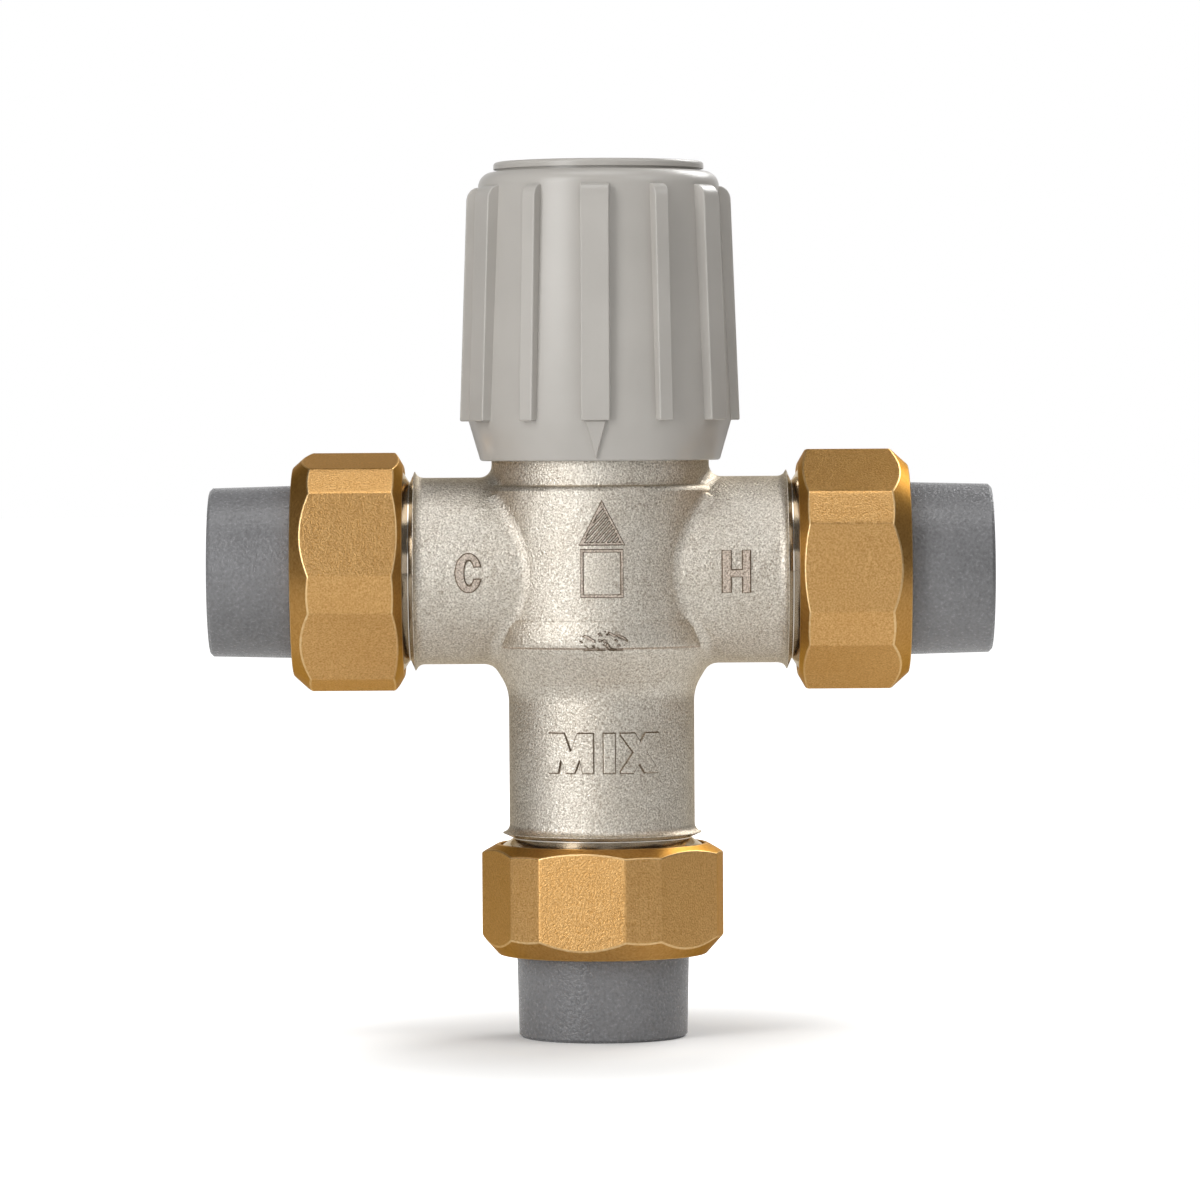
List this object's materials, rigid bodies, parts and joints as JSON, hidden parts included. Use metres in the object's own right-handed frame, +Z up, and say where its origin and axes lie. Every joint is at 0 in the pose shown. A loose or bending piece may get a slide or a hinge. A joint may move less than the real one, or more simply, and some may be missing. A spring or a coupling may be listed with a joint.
{
  "type": "mixing valve",
  "caption": "Thermostatic mixing valve: plated brass tee body, ribbed temperature knob on top, and brass union nuts holding grey plastic solvent-weld socket tails",
  "frame": {"origin": "bottom centre of the mixed outlet's socket mouth, which the valve stands on", "axes": "+Z up the valve's axis to the knob, +X along the arm to the hot inlet, -Y to the front"},
  "size_m": [0.128, 0.046, 0.1433],
  "materials": {
    "nickel_casting": "nickel plated over a grainy casting",
    "nut_brass": "raw grainy forging, machined bevels",
    "turned_brass": "turned",
    "socket_plastic": "pitted grey",
    "knob_plastic": "satin warm grey",
    "acetal": "plain",
    "rubber": "plain",
    "steel": "drawn",
    "wax": "plain"
  },
  "bodies": {
    "valve": {"valve_body": "nickel_casting", "bonnet": "turned_brass", "bonnet_seal": "rubber", "stop_ring": "turned_brass", "lower_cage": "acetal", "lower_cage_seal": "rubber", "return_spring": "steel", "cold_check_cage": "acetal", "cold_check_spring": "steel", "cold_strainer": "steel", "hot_check_cage": "acetal", "hot_check_spring": "steel", "hot_strainer": "steel"},
    "knob": {"knob": "knob_plastic", "knob_cap": "knob_plastic", "knob_screw": "steel", "knob_washer": "steel", "spindle": "turned_brass", "spindle_seal_upper": "rubber", "spindle_seal_lower": "rubber", "spindle_clip": "steel"},
    "carrier": {"carrier": "turned_brass", "plunger_ring": "steel", "overload_spring": "steel"},
    "plunger": {"overload_plunger": "turned_brass", "thermostat_pin": "steel"},
    "shuttle": {"shuttle": "acetal", "shuttle_seal": "rubber", "thermostat_cup": "turned_brass", "thermostat_guide": "turned_brass", "thermostat_clip": "steel", "wax_charge": "wax", "thermostat_diaphragm": "rubber"},
    "cold_check": {"cold_check_poppet": "acetal", "cold_check_seal": "rubber"},
    "hot_check": {"hot_check_poppet": "acetal", "hot_check_seal": "rubber"},
    "cold_union_tail": {"cold_tail": "socket_plastic", "cold_gasket": "rubber"},
    "cold_union_nut": {"cold_nut": "nut_brass"},
    "hot_union_tail": {"hot_tail": "socket_plastic", "hot_gasket": "rubber"},
    "hot_union_nut": {"hot_nut": "nut_brass"},
    "mix_union_tail": {"mix_tail": "socket_plastic", "mix_gasket": "rubber"},
    "mix_union_nut": {"mix_nut": "nut_brass"}
  },
  "joints": [
    {"name": "knob_turn", "type": "hinge", "parent": "valve", "child": "knob", "pos_m": [0, 0, 0.11], "axis": [0, 0, 1], "range_deg": [-150, 150]},
    {"name": "carrier_travel", "type": "slide", "parent": "valve", "child": "carrier", "axis": [0, 0, 1], "range_m": [-0.00062, 0.00062]},
    {"name": "plunger_travel", "type": "slide", "parent": "carrier", "child": "plunger", "axis": [0, 0, 1], "range_m": [0, 0.0025], "stiffness_N_per_m": 4000, "springref_m": -0.002, "deforming": ["overload_spring"]},
    {"name": "shuttle_travel", "type": "slide", "parent": "valve", "child": "shuttle", "axis": [0, 0, 1], "range_m": [-0.0008, 0.0008], "stiffness_N_per_m": 1500, "deforming": ["return_spring"]},
    {"name": "cold_check_travel", "type": "slide", "parent": "valve", "child": "cold_check", "axis": [1, 0, 0], "range_m": [0, 0.003], "stiffness_N_per_m": 80, "springref_m": -0.003, "deforming": ["cold_check_spring"]},
    {"name": "hot_check_travel", "type": "slide", "parent": "valve", "child": "hot_check", "axis": [-1, 0, 0], "range_m": [0, 0.003], "stiffness_N_per_m": 80, "springref_m": -0.003, "deforming": ["hot_check_spring"]},
    {"name": "cold_tail_draw", "type": "slide", "parent": "valve", "child": "cold_union_tail", "axis": [-1, 0, 0], "range_m": [0, 0.00924]},
    {"name": "cold_nut_turn", "type": "hinge", "parent": "cold_union_tail", "child": "cold_union_nut", "pos_m": [-0.045, 0, 0.0765], "axis": [-1, 0, 0], "range_deg": [0, 1440]},
    {"name": "hot_tail_draw", "type": "slide", "parent": "valve", "child": "hot_union_tail", "axis": [1, 0, 0], "range_m": [0, 0.00924]},
    {"name": "hot_nut_turn", "type": "hinge", "parent": "hot_union_tail", "child": "hot_union_nut", "pos_m": [0.045, 0, 0.0765], "axis": [1, 0, 0], "range_deg": [0, 1440]},
    {"name": "mix_tail_draw", "type": "slide", "parent": "valve", "child": "mix_union_tail", "axis": [0, 0, -1], "range_m": [0, 0.00924]},
    {"name": "mix_nut_turn", "type": "hinge", "parent": "mix_union_tail", "child": "mix_union_nut", "pos_m": [0, 0, 0.02], "axis": [0, 0, -1], "range_deg": [0, 1440]}
  ],
  "couplings": [
    {"joint": "knob_turn", "follows": "carrier_travel", "rad_per_m": 4188.8},
    {"joint": "cold_nut_turn", "follows": "cold_tail_draw", "rad_per_m": 2721.2},
    {"joint": "hot_nut_turn", "follows": "hot_tail_draw", "rad_per_m": 2721.2},
    {"joint": "mix_nut_turn", "follows": "mix_tail_draw", "rad_per_m": 2721.2}
  ]
}
